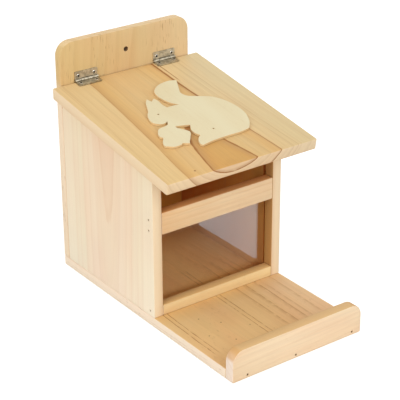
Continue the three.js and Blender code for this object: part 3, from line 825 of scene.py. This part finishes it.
def finish_metal():
    # The third colour of each is its painted shade
    leaf = plated_steel("plated_leaf", ("#c6bda9", "#a39a87"), "#4a3e2e", roughness=(0.26, 0.5))
    nail = plated_steel("dull_nail", ("#5a4734", "#3f3124"), "#21180f", roughness=(0.4, 0.64))
    for node in nodes:
        if "leaf" in node or "pin" in node:
            wear(node, leaf)
        elif "screw" in node:
            wear(node, plated_steel(
                f"plated_{node}", ("#ded8cb", "#b3aa9b"), "#2b2218", roughness=(0.2, 0.44),
                recess=screw_face(node),
            ))
        elif "nail" in node:
            wear(node, nail)


# Pane
def finish_pane():
    """Clear sheet that mirrors what is before it and lets light through, with brown sawn edges whose colour
    is painted shade, lighter on the top and bottom edges.
    """
    shader = Shader.of_material("clear_sheet")
    rest = shader.coordinate("Object")
    ripple = shader.noise(shader.stretch(rest, *PANE_RIPPLE), detail=1.0)
    smear = shader.noise(shader.stretch(rest, *PANE_SMEAR), detail=3.0)
    shader.coat({
        "Base Color": shader.mix(smear, paint("#faf8f2"), paint("#f3f0e8")),
        "Transmission Weight": 1.0,
        "IOR": PANE_INDEX,
        "Roughness": 0.0,
        "Normal": shader.bump(ripple, strength=0.02, distance=0.2 * MILLIMETRE),
    })
    ray = shader.add("ShaderNodeLightPath", {}).outputs
    passes = shader.math("MAXIMUM", ray["Is Shadow Ray"], ray["Is Diffuse Ray"])
    clear = shader.add("ShaderNodeBsdfTransparent", {"Color": paint("#fbfaf6")})
    sheet = shader.add("ShaderNodeMixShader", {
        0: passes, 1: shader.surface.outputs[0], 2: clear.outputs[0],
    })
    # Painted shade on the sawn edges, lighter on the top and bottom edges
    tone = shader.mix(shader.step(shader.facing(UP), *PANE_FACE), paint("#64380f"), paint("#c08850"))
    sawn = shader.add("ShaderNodeBsdfDiffuse", {"Color": shader.scale(tone, shader.lerp(smear, 0.8, 1.1))})
    flat = shader.step(shader.facing(BACK), *PANE_FACE)
    edged = shader.add("ShaderNodeMixShader", {
        0: flat, 1: sawn.outputs[0], 2: sheet.outputs[0],
    })
    shader.feed(shader.nodes["Material Output"].inputs["Surface"], edged.outputs[0])
    wear("window_pane", shader.material)


# Meshes
def smooth_by_angle():
    """A modifier group that shades smooth across every edge but the sharp ones."""
    group = bpy.data.node_groups.new("smooth_by_angle", "GeometryNodeTree")
    group.interface.new_socket("Geometry", in_out="INPUT", socket_type="NodeSocketGeometry")
    group.interface.new_socket("Geometry", in_out="OUTPUT", socket_type="NodeSocketGeometry")
    start = group.nodes.new("NodeGroupInput")
    faces = group.nodes.new("GeometryNodeSetShadeSmooth")
    edges = group.nodes.new("GeometryNodeSetShadeSmooth")
    edges.domain = "EDGE"
    angle = group.nodes.new("GeometryNodeInputMeshEdgeAngle")
    small = group.nodes.new("FunctionNodeCompare")
    small.operation = "LESS_THAN"
    small.inputs["B"].default_value = SMOOTH_ANGLE
    end = group.nodes.new("NodeGroupOutput")
    group.links.new(start.outputs[0], faces.inputs["Geometry"])
    group.links.new(faces.outputs[0], edges.inputs["Geometry"])
    group.links.new(angle.outputs["Unsigned Angle"], small.inputs["A"])
    group.links.new(small.outputs[0], edges.inputs["Shade Smooth"])
    group.links.new(edges.outputs[0], end.inputs[0])
    return group


def soften_shading():
    group = smooth_by_angle()
    for node in nodes.values():
        weld = node.modifiers.new("weld", "WELD")
        weld.merge_threshold = WELD_DISTANCE
        smooth = node.modifiers.new("smooth", "NODES")
        smooth.node_group = group


def free_knuckles():
    """Draws the lid's hinge leaves in by a hair, so that their knuckles turn clear of the back board."""
    for name, node in nodes.items():
        if "lid_leaf" in name:
            clearance = node.modifiers.new("clearance", "DISPLACE")
            clearance.strength = -KNUCKLE_CLEARANCE
            clearance.mid_level = 0.0


# Studio
def visible_ray(shader):
    """1 for what the camera sees, straight, mirrored or through something clear."""
    ray = shader.add("ShaderNodeLightPath", {}).outputs
    seen = shader.math("MAXIMUM", ray["Is Camera Ray"], ray["Is Glossy Ray"])
    return shader.math("MAXIMUM", seen, ray["Is Transmission Ray"])


def make_floor():
    mesh = bpy.data.meshes.new("floor")
    half = FLOOR_HALF_SIZE
    corners = [(-half, -half, 0), (half, -half, 0), (half, half, 0), (-half, half, 0)]
    mesh.from_pydata(corners, [], [(0, 1, 2, 3)])
    floor = bpy.data.objects.new("floor", mesh)
    bpy.context.scene.collection.objects.link(floor)
    shader = Shader.of_material("floor_paper")
    shader.coat({
        "Base Color": paint(FLOOR_COLOUR),
        "Roughness": 1.0,
        "Specular IOR Level": 0.0,
        "Emission Color": WHITE,
        "Emission Strength": shader.product(visible_ray(shader), FLOOR_GLOW),
    })
    mesh.materials.append(shader.material)


def light_world():
    world = bpy.data.worlds.new("studio")
    bpy.context.scene.world = world
    world.use_nodes = True
    shader = Shader(world.node_tree)
    background = shader.nodes["Background"]
    strength = shader.lerp(visible_ray(shader), WORLD_STRENGTH, BACKGROUND_STRENGTH)
    shader.feed(background.inputs["Color"], WHITE)
    shader.feed(background.inputs["Strength"], strength)


def aim(place, target, roll=0.0):
    """A placement that looks from one point to another, turned about the line of sight."""
    back = (Vector(place) - target).normalized()
    right = UP.cross(back).normalized()
    up = back.cross(right)
    turned_right = math.cos(roll) * right + math.sin(roll) * up
    turned_up = math.cos(roll) * up - math.sin(roll) * right
    matrix = Matrix((turned_right, turned_up, back)).transposed().to_4x4()
    matrix.translation = place
    return matrix


def hang_lamps():
    for name, settings in LAMPS.items():
        lamp = bpy.data.lights.new(name, "AREA")
        lamp.size = settings["size"]
        lamp.energy = settings["energy"]
        lamp.color = paint(settings["colour"])[:3]
        holder = bpy.data.objects.new(name, lamp)
        holder.matrix_world = aim(settings["place"], LAMP_TARGET)
        bpy.context.scene.collection.objects.link(holder)


def set_camera():
    camera = bpy.data.cameras.new("camera")
    camera.sensor_width = SENSOR_WIDTH
    camera.lens = FOCAL_LENGTH
    camera.clip_end = 4 * FLOOR_HALF_SIZE
    holder = bpy.data.objects.new("camera", camera)
    back = Vector((
        math.sin(CAMERA_AZIMUTH) * math.cos(CAMERA_ELEVATION),
        -math.cos(CAMERA_AZIMUTH) * math.cos(CAMERA_ELEVATION),
        math.sin(CAMERA_ELEVATION),
    ))
    holder.matrix_world = aim(CAMERA_TARGET + CAMERA_DISTANCE * back, CAMERA_TARGET, CAMERA_ROLL)
    bpy.context.scene.collection.objects.link(holder)
    bpy.context.scene.camera = holder


finish_lid()
finish_sides()
finish_back_board()
finish_floor_board()
finish_bars()
finish_cutout()
finish_metal()
finish_pane()
soften_shading()
free_knuckles()
make_floor()
light_world()
hang_lamps()
set_camera()
bpy.context.scene.view_settings.view_transform = "Standard"
